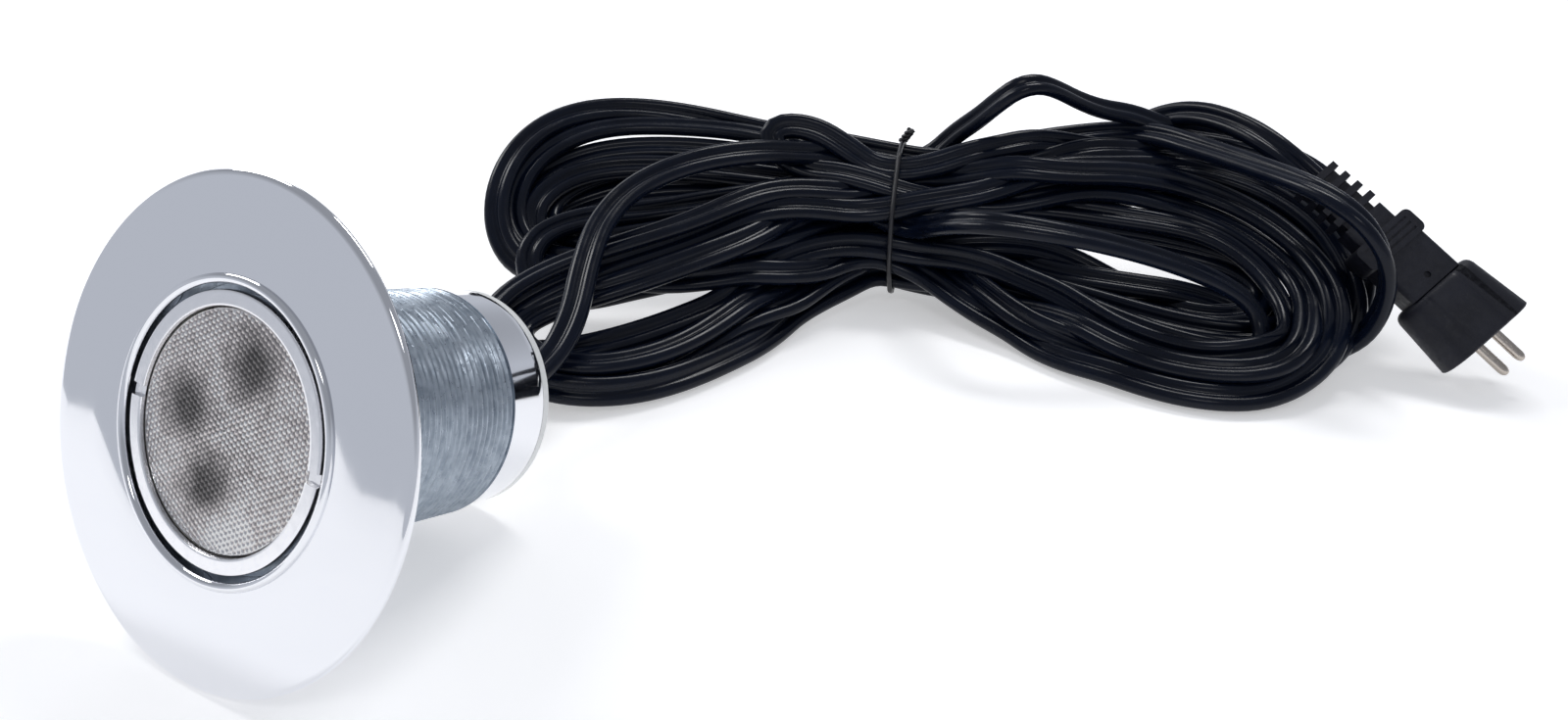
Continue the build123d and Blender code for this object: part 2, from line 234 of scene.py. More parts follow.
satin = Surface("satin_chrome", (0.86, 0.86, 0.88), 0.16, Metallic=1.0)
satin.gloss(satin.noise(0.6), 0.15, 0.25).relief(satin.noise(2.5), 0.01, 0.15)

zinc = Surface("zinc", (0.34, 0.39, 0.45), 0.42, Metallic=0.85)
zinc.tint(zinc.noise(0.4, detail=6.0), (0.27, 0.315, 0.37), (0.42, 0.47, 0.53))
zinc.gloss(zinc.noise(0.9, detail=4.0), 0.24, 0.46)
zinc.relief(zinc.noise(2.2, detail=6.0), 0.03, 0.35)
zinc.relief(zinc.between(zinc.noise(1.1), 0.0, 1.0, 0.28, 0.36), 0.1, 0.5)

white_plastic = Surface("white_plastic", (0.78, 0.79, 0.78), 0.4)
white_plastic.tint(white_plastic.noise(0.1), (0.74, 0.75, 0.74), (0.82, 0.83, 0.82))
white_plastic.relief(white_plastic.noise(2.0), 0.02, 0.3)

# The lens has painted shade in the valleys between its domes and at its sides and back, painted shade
# over the three emitters, and a painted glint at one place near its edge.
painted_shade_places = in_light(np.array([(-11.2, 2.4, -1.3), (5.2, 13.4, -1.3), (-3.0, -11.0, -1.3)]))
painted_glint_places = in_light(np.array([(3.5, -18.5, -1.3)]))
lens_clear = Surface("lens_clear", (0.93, 0.9, 0.88), 0.06, Metallic=0.55, Transmission_Weight=1.0,
                     IOR=1.5)
# Painted shade: the colour darkens with depth behind the face, in the valleys between the domes and
# over the lens's sides and back.
lens_clear.tint(lens_clear.behind_face(1.5, start=1.15), (1.0, 0.935, 0.92), (0.09, 0.08, 0.08),
                0.3, 0.8)
# Painted shade over the three emitters, darkest at their middles.
lens_clear.dim(lens_clear.from_nearest(painted_shade_places), 0.16, 1.0, 2.6, 10.0)
# A painted glint at one place near the lens's edge, brightest at its middle.
lens_clear.dim(lens_clear.from_nearest(painted_glint_places), 2.0, 1.0, 2.0, 9.0)
lens_clear.dim(lens_clear.noise(0.25), 0.85, 1.35)
lens_clear.dim(lens_clear.noise(0.9, detail=1.0), 0.8, 1.4)
lens_clear.gloss(lens_clear.noise(0.5), 0.06, 0.13)

vinyl = Surface("vinyl", (0.009, 0.01, 0.014), 0.22, Specular_IOR_Level=0.2)
vinyl.tint(vinyl.noise(0.06, detail=2.0), (0.0015, 0.003, 0.0085), (0.003, 0.0055, 0.014))
vinyl.gloss(vinyl.noise(0.18, detail=5.0), 0.16, 0.29)
vinyl.relief(vinyl.noise(1.2, detail=4.0), 0.02, 0.35)

tie_vinyl = Surface("tie_vinyl", (0.012, 0.012, 0.015), 0.35)
tie_vinyl.gloss(tie_vinyl.noise(1.0), 0.28, 0.45).relief(tie_vinyl.noise(3.0), 0.02, 0.4)

rubber = Surface("rubber", (0.015, 0.015, 0.017), 0.6)
rubber.gloss(rubber.noise(0.8), 0.5, 0.7).relief(rubber.noise(3.0), 0.03, 0.4)

plug_plastic = Surface("plug_plastic", (0.009, 0.01, 0.016), 0.5, Specular_IOR_Level=0.32)
plug_plastic.tint(plug_plastic.noise(0.1), (0.004, 0.0045, 0.009), (0.009, 0.01, 0.018))
plug_plastic.gloss(plug_plastic.noise(0.7), 0.42, 0.6)
plug_plastic.relief(plug_plastic.noise(1.8, detail=5.0), 0.08, 0.8)

nickel = Surface("nickel", (0.5, 0.45, 0.4), 0.2, Metallic=1.0)
nickel.gloss(nickel.noise(1.5, stretch=(1, 1, 0.2)), 0.12, 0.32).relief(nickel.noise(4.0), 0.01, 0.4)

holder = Surface("holder_plastic", (0.62, 0.57, 0.54), 0.3, Metallic=0.8)
# Painted shade in the bowls: the tray's colour goes from near white to near black with depth behind the
# face.
holder.tint(holder.behind_face(10.0), (0.98, 0.92, 0.89), (0.02, 0.018, 0.02), 0.36, 0.66)
holder.gloss(holder.noise(0.5), 0.12, 0.3).relief(holder.noise(0.9), 0.5, 1.0)

optic = Surface("optic_clear", (0.9, 0.88, 0.86), 0.04, Transmission_Weight=1.0, IOR=1.49)
optic.gloss(optic.noise(0.5), 0.02, 0.08)

phosphor = Surface("led_phosphor", (0.75, 0.62, 0.2), 0.45)
phosphor.tint(phosphor.noise(1.0), (0.7, 0.55, 0.14), (0.8, 0.68, 0.3))

board_white = Surface("board_white", (0.7, 0.71, 0.7), 0.45)
board_white.tint(board_white.noise(0.2), (0.62, 0.64, 0.63), (0.76, 0.77, 0.76))

steel = Surface("steel", (0.6, 0.6, 0.62), 0.3, Metallic=1.0)
steel.gloss(steel.noise(1.5), 0.22, 0.4)

aluminium = Surface("aluminium", (0.62, 0.63, 0.66), 0.4, Metallic=1.0)
aluminium.gloss(aluminium.noise(0.6, stretch=(1, 1, 0.1)), 0.3, 0.5)

brass = Surface("brass", (0.72, 0.52, 0.24), 0.3, Metallic=1.0)
brass.gloss(brass.noise(1.0), 0.22, 0.42)

board_green = Surface("board_green", (0.02, 0.16, 0.06), 0.4)
board_green.tint(board_green.noise(0.3), (0.015, 0.12, 0.045), (0.03, 0.2, 0.08))

can = Surface("capacitor_can", (0.05, 0.06, 0.16), 0.35)
can.gloss(can.noise(0.8), 0.25, 0.45)

ferrite = Surface("ferrite", (0.05, 0.045, 0.04), 0.65)
ferrite.relief(ferrite.noise(2.0), 0.05, 0.5)

epoxy = Surface("epoxy", (0.02, 0.02, 0.022), 0.5)
epoxy.relief(epoxy.noise(2.5), 0.03, 0.4)

tin = Surface("tin", (0.66, 0.66, 0.66), 0.35, Metallic=1.0)
tin.gloss(tin.noise(1.2), 0.25, 0.45)

nylon = Surface("nylon", (0.7, 0.69, 0.64), 0.5)
nylon.tint(nylon.noise(0.4), (0.64, 0.63, 0.58), (0.74, 0.73, 0.69))

# The CAD nodes that keep their own shape, by surface.
node_surfaces = {
    rubber: ("barrel_seal", "disc_seal", "lens_gasket"),
    nylon: ("slip_washer",),
    optic: ("collimator_1", "collimator_2", "collimator_3"),
    phosphor: ("led_1", "led_2", "led_3"),
    board_white: ("led_board",),
    steel: ("board_screws",),
    aluminium: ("heat_sink",),
    brass: ("standoffs",),
    board_green: ("driver_board",),
    can: ("capacitor",),
    ferrite: ("inductor",),
    epoxy: ("rectifier",),
    vinyl: ("inner_cord",),
    tin: ("splices",),
    plug_plastic: ("plug_neck", "plug_relief"),
}
for surface, names in node_surfaces.items():
    for node_name in names:
        for material_slot in frame["nodes"][node_name].material_slots:
            material_slot.material = surface.material

# --- camera ------------------------------------------------------------------------------------------
eye = Vector((0.1860, -0.1423, 0.1672))
looking = Vector((-0.459, 0.800, -0.386)).normalized()
camera_data = bpy.data.cameras.new("camera")
camera_data.sensor_width = 36.0
camera_data.lens = 28.22
camera_data.shift_y = -0.0845
camera_data.clip_start = 0.01
camera_data.clip_end = 20.0
camera = bpy.data.objects.new("camera", camera_data)
camera.location = eye
camera.rotation_euler = looking.to_track_quat("-Z", "Y").to_euler()
bpy.context.scene.collection.objects.link(camera)
bpy.context.scene.camera = camera
bpy.context.scene.view_settings.view_transform = "Standard"

# --- cord: its route, in mm --------------------------------------------------------------------------
CORD_WIDTH = 7.9
CORD_THICKNESS = 3.9
SETTLING_SPACING = 5.0      # between the points that settle
FINAL_SPACING = 2.5         # between the sections of the finished cord

# The cord leaves the light through the gland, heading for lead_start. At its other end it runs from
# tail_start along the plug's axis into the strain relief.
gland_face = in_light(np.array([0.0, 0.0, -69.0]))
lead_start = in_light(np.array([0.0, 0.0, -82.5]))
plug_axis = np.array([0.822557, -0.169908, -0.542708])
plug_width = unit(np.array([0.518, 0.617, 0.592]))
relief_face = np.array([153.8, 213.045, 46.125])
tail_start = relief_face - 11.0 * plug_axis
LEAD_ROUTE = [
    (1.5, 63, 18.5), (-0.5, 75, 25), (-7, 88, 32.5), (-12, 102, 39.5),
    (-12, 118, 44.5), (-4, 134, 48), (8, 150, 48.5), (17, 166, 44.5), (22, 177, 39.6),
]
TAIL_ROUTE = [(131, 224, 55.5), (115, 233, 55), (101, 238.5, 48.5), (93, 239.5, 39.6)]

# The hank: each turn passes through the tie, round a loop on the right, back through the tie and
# round a loop on the left. The loops below are the ones that the turns follow or lie between,
# each listed from the tie round the loop and back to it.
tie_centre = np.array([39.8, 184.5, 21.5])
heading = math.radians(19.0)
run_way = np.array([math.cos(heading), math.sin(heading), 0.0])
deep_way = np.array([-math.sin(heading), math.cos(heading), 0.0])
RIGHT_LOOPS = {
    "high": [
        (66, 212, 42), (80, 225, 44), (95, 231, 45), (112, 224, 48), (129, 211, 50), (146, 196, 52),
        (159, 186, 54), (170, 180, 53), (177, 179, 47), (181, 183, 37), (181, 189, 25), (178, 193, 14),
        (169, 191, 8), (152, 190, 6), (130, 193, 6), (101, 198, 8), (72, 197, 12),
    ],
    "flat": [
        (73, 192, 41), (86, 209, 43), (100, 223, 44), (117, 235, 44), (135, 242, 42), (153, 241, 38),
        (167, 233, 32), (174, 222, 25), (176, 211, 17), (173, 201, 11), (164, 191, 7), (151, 184, 6),
        (140, 182, 6), (127, 181, 6), (113, 181, 7), (95, 182, 9), (75, 179, 12),
    ],
    "front": [
        (76, 186, 40), (93, 199, 40), (109, 212, 38), (126, 221, 34), (141, 221, 30), (154, 213, 25),
        (163, 203, 20), (168, 191, 14), (168, 178, 9), (163, 166, 6), (154, 156, 5), (141, 151, 5),
        (129, 151, 5), (116, 155, 6), (102, 160, 7), (88, 165, 8), (72, 169, 10),
    ],
    "middle": [
        (76, 188, 34), (93, 197, 33), (110, 204, 31), (127, 208, 28), (142, 207, 24), (153, 201, 19),
        (161, 193, 14), (164, 183, 9), (161, 172, 7), (154, 163, 6), (143, 158, 6), (131, 158, 7),
        (117, 161, 8), (104, 166, 9), (90, 171, 11), (75, 173, 13), (62, 171, 15),
    ],
    "small": [
        (73, 186, 27), (90, 193, 26), (106, 199, 25), (122, 204, 23), (136, 207, 22), (147, 207, 19),
        (154, 203, 15), (155, 197, 11), (150, 191, 8), (140, 188, 8), (127, 189, 9), (114, 190, 11),
        (102, 190, 13), (91, 188, 15), (80, 185, 16), (70, 181, 18), (60, 177, 19),
    ],
    "crossing": [
        (73, 148, 42), (84, 149, 42), (95, 153, 41), (107, 160, 38), (120, 168, 34), (131, 173, 30),
        (142, 180, 25), (150, 186, 19), (157, 186, 13.5), (160, 182, 9), (159, 173, 6), (155, 162, 5),
        (145, 156, 5), (132, 157, 5.5), (118, 159, 6), (101, 162, 7), (83, 161, 9),
    ],
    "peak": [
        (50, 201, 42), (58, 199, 49), (66, 194, 61), (71.5, 194, 71), (76, 198, 73), (79, 206, 66),
        (84, 215, 56), (94, 226, 49.5), (112, 236, 46.5), (132, 241, 44.5), (152, 238, 40),
        (166, 232, 33), (172, 221, 23), (170, 208, 13), (161, 196, 8), (145, 190, 8), (126, 189, 10),
        (104, 188, 13), (81, 183, 15), (62, 177, 16),
    ],
}
LEFT_LOOPS = {
    "low": [
        (29, 146, 10), (24, 130, 7), (23, 113, 5), (22, 97, 4), (17, 83, 4), (8, 71, 5), (-4, 64, 6),
        (-18, 62, 8), (-30, 65, 12), (-34, 74, 17), (-28, 85, 22), (-20, 95, 26), (-9, 108, 30),
        (3, 122, 32), (13, 140, 35), (21, 160, 37),
    ],
    "near": [
        (27, 145, 15), (22, 126, 12), (20, 108, 9), (16, 92, 8), (9, 79, 8), (0, 70, 8), (-12, 66, 9),
        (-25, 67, 11), (-33, 71, 14), (-31, 78, 17), (-22, 87, 20), (-9, 100, 23), (4, 112, 26),
        (12, 127, 28), (18, 144, 30), (25, 162, 32),
    ],
    "short": [
        (25, 150, 20), (19, 131, 16), (13, 111, 13), (5, 96, 11), (-3, 85, 10), (-11, 75, 9),
        (-22, 70, 9), (-32, 71, 12), (-36, 78, 17), (-30, 86, 21), (-16, 95, 22), (-3, 104, 22),
        (7, 117, 24), (14, 131, 26), (20, 147, 28), (27, 163, 30),
    ],
    "tall": [
        (25, 148, 20), (13, 131, 20), (0, 116, 20), (-13, 106, 20), (-25, 100, 19), (-36, 97, 19),
        (-46, 98, 21), (-53, 102, 27), (-58, 109, 35), (-61, 119, 42), (-61, 131, 48),
        (-57, 145, 51.5), (-46, 157, 51.5), (-27, 167, 49), (-6, 174, 45), (14, 180, 41),
    ],
    "back": [
        (24, 154, 24), (12, 141, 24), (-2, 127, 23), (-15, 115, 21), (-27, 108, 20), (-37, 103, 19),
        (-46, 103, 20), (-53, 106, 25), (-57, 113, 31), (-58, 123, 37), (-54, 134, 42), (-45, 144, 44),
        (-31, 153, 43), (-14, 162, 41), (4, 168, 39), (19, 174, 37),
    ],
    "inner": [
        (22, 158, 28), (9, 147, 27), (-4, 136, 26), (-17, 125, 25), (-29, 117, 22), (-39, 111, 20),
        (-46, 110, 21), (-52, 115, 26), (-52, 123, 30), (-47, 132, 32), (-38, 141, 33), (-25, 149, 34),
        (-12, 156, 34), (0, 163, 34), (12, 169, 33), (23, 174, 32),
    ],
    "fold": [
        (30, 178, 41), (21, 174, 46), (12, 172, 51), (4, 168, 54.5), (-1, 162.5, 54.5), (-1, 157.5, 51),
        (4, 157, 47), (10, 160, 44), (18, 166, 41),
    ],
}
# Each turn: where it passes the tie on its way right, as (depth, height) from the tie's centre, its
# right loop, where it passes on its way left, and its left loop. A loop is a mix of named ones.
TURNS_TO_FOLD = [
    ((-7, 15), {"high": 1}, (5, 17), {"tall": 1}),
    ((-17, -8), {"front": 1}, (-1, 13), {"low": 1}),
    ((-11, -15), {"flat": 0.5, "middle": 0.5}, (16, 9), {"back": 1}),
    ((-4, -11), {"small": 1}, (19, 3), {"short": 1}),
    ((-18, -1), {"middle": 1}, (6, 9), {"inner": 1}),
    ((4, -17), {"flat": 1}, (-10, 17), {"fold": 1}),
]
TURNS_AFTER_FOLD = [
    ((-13, 9), {"front": 0.55, "middle": 0.45}, (11, -14), {"near": 1}),
    ((12, 15), {"peak": 1}, (17, -7), {"tall": 0.6, "back": 0.4}),
    ((-8, 3), {"flat": 0.7, "middle": 0.3}, (1, -4), {"low": 0.5, "near": 0.5}),
    ((-19, 5), {"flat": 0.4, "front": 0.6}, (9, -13), {"back": 0.5, "inner": 0.5}),
    ((-15, 0), {"crossing": 1}, (15, -2), {"inner": 0.55, "short": 0.45}),
    ((3, 9), {"flat": 0.85, "front": 0.15}, (13, -1), {"tall": 0.2, "inner": 0.8}),
]
LAST_PASS = (19, 2)
TO_TAIL = [(58, 208, 32), (75, 230, 37)]


def at_tie(deep, up):
    """A place in the bundle at the tie."""
    return tie_centre + deep * deep_way + np.array([0.0, 0.0, up])


def mixed(loops, shares):
    """The control points of a loop that lies between named loops."""
    return list(sum(np.array(loops[name], float) * share for name, share in shares.items()))


def hank_route():
    """Control points of all the turns. Up to the fold, which is listed as it runs, the turns go the
    other way round each loop."""
    points = []
    for turns, way in ((TURNS_TO_FOLD, -1), (TURNS_AFTER_FOLD, 1)):
        for to_right, right, to_left, left in turns:
            points += [at_tie(*to_right)] + mixed(RIGHT_LOOPS, right)[::way]
            points += [at_tie(*to_left)] + mixed(LEFT_LOOPS, left)[::1 if "fold" in left else way]
    return points + [at_tie(*LAST_PASS)] + [np.array(p, float) for p in TO_TAIL]


def along_nurbs(points, resolution):
    """Points along the NURBS spline that has these control points."""
    curve = bpy.data.curves.new("route", "CURVE")
    curve.dimensions = "3D"
    curve.resolution_u = resolution
    spline = curve.splines.new("NURBS")
    spline.points.add(len(points) - 1)
    for control, place in zip(spline.points, points):
        control.co = (*(np.array(place) * MM), 1.0)
    spline.order_u = 3
    spline.use_endpoint_u = True
    holder_object = bpy.data.objects.new("route", curve)
    mesh = bpy.data.meshes.new_from_object(holder_object)
    line = np.array([v.co for v in mesh.vertices]) / MM
    bpy.data.objects.remove(holder_object)
    bpy.data.meshes.remove(mesh)
    bpy.data.curves.remove(curve)
    return line


def evenly(line, step):
    """The line's points moved to an even spacing."""
    travelled = np.r_[0, np.cumsum(np.linalg.norm(np.diff(line, axis=0), axis=1))]
    places = np.linspace(0, travelled[-1], int(round(travelled[-1] / step)) + 1)
    return np.stack([np.interp(places, travelled, line[:, axis]) for axis in range(3)], 1)


FACING = unit(np.array([0.10, -0.62, 0.78]))    # the way the cord's flat side tends to face
LEANING = ((0.28, 95, 1.1), (0.2, 41, 4.0), (0.2, 210, 2.2))    # waves from it: radians, mm, phase
LEAST_PULL = 0.15               # below this the cord runs nearly along FACING and keeps its twist
TWIST_SMOOTHINGS = 6


def ribbon_frames(line):
    """Direction, width direction and flat side of the cord at each point, twisting slowly."""
    ways = unit(np.gradient(line, axis=0))
    spacing = np.linalg.norm(line[1] - line[0])
    travelled = np.arange(len(line)) * spacing
    lean = sum(size * np.sin(travelled / length + phase) for size, length, phase in LEANING)
    gain = 1 - 0.9 ** (spacing / 4)     # at most a tenth of the way to FACING every 4 mm
    widths = np.zeros_like(line)
    width = unit(np.cross(ways[0], [0, 0, 1.0]))
    for i, way in enumerate(ways):
        width = unit(width - (width @ way) * way)
        wanted = np.cross(way, FACING)
        pull = np.linalg.norm(wanted)
        if pull > LEAST_PULL:
            wanted = wanted / pull
            wanted = math.cos(lean[i]) * wanted + math.sin(lean[i]) * np.cross(way, wanted)
            if wanted @ width < 0:
                wanted = -wanted
            width = unit(width + gain * pull * (wanted - width))
        widths[i] = width
    for _ in range(TWIST_SMOOTHINGS):
        widths[1:-1] = widths[1:-1] * 0.5 + 0.25 * (widths[2:] + widths[:-2])
        widths = unit(widths - (widths * ways).sum(1)[:, None] * ways)
    return ways, widths, np.cross(widths, ways)


def neighbours(line, reach, apart):
    """Pairs of points closer than reach and more than apart places from each other."""
    found = []
    for start in range(0, len(line), 256):
        gaps = np.linalg.norm(line[start:start + 256, None] - line[None], axis=2)
        i, j = np.nonzero(gaps < reach)
        keep = j - (i + start) > apart
        found.append(np.stack([i[keep] + start, j[keep]]))
    return np.concatenate(found, 1)


SETTLING_STEPS = 240
NEIGHBOUR_STEPS = 12            # steps between two searches for neighbours
NEIGHBOUR_REACH = 16.0
NEIGHBOURS_APART = 5            # points no more places apart than this don't push each other
CONTACT_LENGTH = 4.5            # how far along the cord a point touches its neighbour
SIDE_BY_SIDE = 8.1              # between two turns that lie side by side
ON_EACH_OTHER = 4.3             # between two turns that lie on each other
SIDE_SHOVE = 0.35               # share of an overlap by which each point is shoved, sideways
FLAT_SHOVE = 0.5                # and through the cord's thickness
SHOVE = 0.9                     # share of all its shoves that a point follows
SMOOTHING = 0.5                 # towards the middle of the two neighbours
UNSMOOTHING = 0.27              # gives the loops back the size that smoothing takes from them
MEMORY = 0.025                  # pull towards the design
FLOOR_GAP = 0.2                 # under the lowest turns
TIE_HALF = (21.0, 19.5)         # half the bundle's depth and height inside the tie
TIE_REACH = 9                   # along the bundle, to each side of the tie
LIGHT_KEEP_OFF = (72, 30)       # length behind the face and radius that turns keep out of
PLUG_KEEP_OFF = (60, 13.5)      # the same for the plug, from the strain relief on


def settled(design, fixed):
    """The route after its turns push each other aside, rest on the floor and keep off the solids."""
    line = design.copy()
    free = (~fixed)[:, None].astype(float)
    for step in range(SETTLING_STEPS):
        if step % NEIGHBOUR_STEPS == 0:
            ways, widths, flats = ribbon_frames(line)
            a, b = neighbours(line, NEIGHBOUR_REACH, NEIGHBOURS_APART)
        gap = line[a] - line[b]
        beside = (gap * widths[a]).sum(1) / SIDE_BY_SIDE
        above = (gap * flats[a]).sum(1) / ON_EACH_OTHER
        apart = np.sqrt(beside ** 2 + above ** 2)
        touching = (np.abs((gap * ways[a]).sum(1)) < CONTACT_LENGTH) & (apart < 1)
        force = np.where(touching, 1 - apart, 0) / np.maximum(apart, 0.05)
        shove = (force * beside * SIDE_BY_SIDE * SIDE_SHOVE)[:, None] * widths[a]
        shove += (force * above * ON_EACH_OTHER * FLAT_SHOVE)[:, None] * flats[a]
        push, count = np.zeros_like(line), np.zeros(len(line))
        np.add.at(push, a, shove)
        np.add.at(push, b, -shove)
        np.add.at(count, a, touching)
        np.add.at(count, b, touching)
        line += free * SHOVE * push / np.sqrt(np.maximum(count, 1))[:, None]
        line += free * (SMOOTHING * straightening(line) + MEMORY * (design - line))
        line -= free * UNSMOOTHING * straightening(line)
        keep_in_tie(line, fixed)
        lowest = np.abs(widths[:, 2]) * CORD_WIDTH / 2 + np.abs(flats[:, 2]) * CORD_THICKNESS / 2
        lowest += FLOOR_GAP
        line[:, 2] = np.where(fixed, line[:, 2], np.maximum(line[:, 2], lowest))
        keep_off_solids(line, fixed)
    return line


def straightening(line):
    """From each point to the middle of its two neighbours."""
    moves = np.zeros_like(line)
    moves[1:-1] = (line[2:] + line[:-2]) / 2 - line[1:-1]
    return moves


def keep_in_tie(line, fixed):
    """Moves the points near the tie into its oval."""
    offset = line - tie_centre
    deep, up = offset @ deep_way, offset[:, 2]
    out = np.sqrt((deep / TIE_HALF[0]) ** 2 + (up / TIE_HALF[1]) ** 2)
    squeezed = (np.abs(offset @ run_way) < TIE_REACH) & (out > 1) & ~fixed
    change = np.where(squeezed, 1 / np.maximum(out, 1e-6), 1) - 1
    line += (change * deep)[:, None] * deep_way
    line[:, 2] += change * up


def keep_off_solids(line, fixed):
    """Moves points out of the light, rearward, and away from the plug's axis."""
    length, radius = LIGHT_KEEP_OFF
    behind = -(line - face_centre) @ front
    off_axis = np.linalg.norm(line - face_centre + behind[:, None] * front, axis=1)
    inside = (behind < length) & (off_axis < radius) & ~fixed
    line -= np.where(inside, (length + 1 - behind) * 0.3, 0)[:, None] * front
    length, radius = PLUG_KEEP_OFF
    past = (line - relief_face) @ plug_axis
    outward = line - relief_face - past[:, None] * plug_axis
    off_plug = np.linalg.norm(outward, axis=1)
    inside = (past > -2) & (past < length) & (off_plug < radius) & ~fixed
    line += np.where(inside, (radius - off_plug) * 0.6, 0)[:, None] * unit(outward)


def nearest_index(points, place):
    """Which of the points is nearest to the place."""
    return int(np.argmin(np.linalg.norm(points - place, axis=1)))


END_POINTS = 60                 # more points of the design than the lead or the tail has
LOOSE_LEAD = 3                  # points at the end of the lead that settle with the turns

lead = [gland_face, lead_start] + [np.array(p, float) for p in LEAD_ROUTE]
tail = [np.array(p, float) for p in TAIL_ROUTE[::-1]] + [tail_start, relief_face]
design = evenly(along_nurbs(lead + hank_route() + tail, 10), SETTLING_SPACING)
first = nearest_index(design[:END_POINTS], lead[-1])
last = len(design) - END_POINTS + nearest_index(design[-END_POINTS:], tail[0])
fixed = np.ones(len(design), bool)
fixed[first - LOOSE_LEAD:last + 1] = False
turns = settled(design, fixed)[first:last:2]
cord_line = evenly(along_nurbs(lead[:-1] + list(turns) + tail, 5), FINAL_SPACING)


def twin_profile(points_per_lobe=17):
    """Section of the flat twin cord: two round lobes with a groove between them on each side."""
    lobe = CORD_THICKNESS / 2
    offset = CORD_WIDTH / 2 - lobe
    around = np.radians(np.linspace(-146, 146, points_per_lobe))
    right = np.stack([offset + lobe * np.cos(around), lobe * np.sin(around)], 1)
    return np.concatenate([right, -right])


section = twin_profile()
_, widths, flats = ribbon_frames(cord_line)
skin = (cord_line[:, None] + section[None, :, :1] * widths[:, None]
        + section[None, :, 1:] * flats[:, None]).reshape(-1, 3)
faces = grid_faces(len(cord_line), len(section)) + end_faces(len(cord_line), len(section))
cord = mesh_piece("cord", skin, faces, "light", vinyl, crease=50)

# --- wire tie round the bundle -----------------------------------------------------------------------
TIE_WIRE = 0.75                 # radius of the coated wire
TIE_SLICE = 3                   # the wire's loop is fitted to the skin this near, to each side
TWIST_NEAR = (6.0, 30.0)        # the twist stands where the loop is nearest to this depth and height
TWIST_TURNS = 1.5
TWIST_R = 0.8                   # from the middle of the twist to each strand
TWIST_STRAND = 0.7              # radius of a strand
TWIST_END = np.array([3.5, -2.0, 4.6])      # from the foot of the twist to its tip


def tube(line, radius, sides=10, closed=False):
    """Points and faces of a round tube along a line."""
    if closed:
        ahead, behind = np.roll(line, -1, 0), np.roll(line, 1, 0)
        ways = unit(ahead - behind)
    else:
        ways = unit(np.gradient(line, axis=0))
    radius = np.broadcast_to(radius, len(line))
    side = unit(np.cross(ways[0], [0.31, 0.42, 0.85]))
    points = []
    for place, way, r in zip(line, ways, radius):
        side = unit(side - (side @ way) * way)
        other = np.cross(way, side)
        for k in range(sides):
            turn = 2 * math.pi * k / sides
            points.append(place + r * (math.cos(turn) * side + math.sin(turn) * other))
    faces = grid_faces(len(line), sides, wrap_rows=closed)
    if not closed:
        faces += end_faces(len(line), sides)
    return np.array(points), faces


def joined(parts):
    """Several sets of points and faces as one."""
    points, faces = [], []
    for some_points, some_faces in parts:
        shift = sum(len(p) for p in points)
        points.append(some_points)
        faces += [tuple(i + shift for i in face) for face in some_faces]
    return np.concatenate(points), faces


# The loop: the outline of the bundle's slice at the tie, smoothed and kept above the floor.
from_tie = skin - tie_centre
slice_points = from_tie[np.abs(from_tie @ run_way) < TIE_SLICE]
deep_up = np.stack([slice_points @ deep_way, slice_points[:, 2]], 1)
outline = []
for turn in np.linspace(0, 2 * math.pi, 73)[:-1]:
    way = np.array([math.cos(turn), math.sin(turn)])
    outline.append(deep_up[np.argmax(deep_up @ way)] + way * TIE_WIRE * 1.05)
outline = np.array(outline)
for _ in range(2):
    outline = (np.roll(outline, 1, 0) + 2 * outline + np.roll(outline, -1, 0)) / 4
outline *= 1.01
outline[:, 1] = np.maximum(outline[:, 1], TIE_WIRE + 0.1 - tie_centre[2])
loop_line = tie_centre + outline[:, :1] * deep_way + outline[:, 1:] * np.array([0, 0, 1.0])
top = loop_line[nearest_index(outline, TWIST_NEAR)]
strands = [tube(loop_line, TIE_WIRE, closed=True)]
for phase in (0.0, math.pi):
    climb = np.linspace(0, 1, 40)
    angle = phase + climb * TWIST_TURNS * 2 * math.pi
    around = np.stack([TWIST_R * np.cos(angle), TWIST_R * np.sin(angle), 0 * climb], 1)
    strands.append(tube(top + (around + climb[:, None] * TWIST_END), TWIST_STRAND))
points, faces = joined(strands)
tie = mesh_piece("wire_tie_twisted", points, faces, "light", tie_vinyl)
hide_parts("wire_tie")

# --- housing: profile points are (radius, depth behind the face) -------------------------------------
RIM_R = 48.5
EDGE_R = 0.85                   # rounding of the rim
MOUTH_R = 27.4
BEAD_R = 0.975
DISH_AT_BEAD = 0.26
DISH_AT_RIM = 0.05
bead = (MOUTH_R + BEAD_R, 0.45)


def dished(radius, depth, theta):
    """The sheet dips a little towards the bead and rolls back towards the rim."""
    on_front = (depth < 0.9) & (radius > 29.2)
    to_bead = np.clip((37.0 - radius) / 8.0, 0, 1)
    to_rim = np.clip((radius - 45.0) / 3.0, 0, 1)
    dip = DISH_AT_BEAD * to_bead ** 2 + DISH_AT_RIM * to_rim ** 2
    return radius, depth + np.where(on_front, dip, 0)


plate_profile = (
    arc(bead, BEAD_R, 180, 28, 18)
    + span((29.3, 0.0), (47.65, 0.0), 70)
    + arc((RIM_R - EDGE_R, 0.9), EDGE_R, 90, -90, 14)
    + [(28.6, 1.8), (28.4, 2.0), (28.4, 10.0), (27.4, 10.0)]
)
plate = lathe("chrome_faceplate", plate_profile, "light", chrome, 360, dished)
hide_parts("faceplate")

PITCH = 1.5
THREAD_R = 25.0
THREAD_TOP = 10.0
THREAD_END = 52.8
GROOVE_FRONT = 0.28             # groove depth at the front, where the coating fills it
GROOVE_GAIN = 0.66              # and how much more it is at the rear


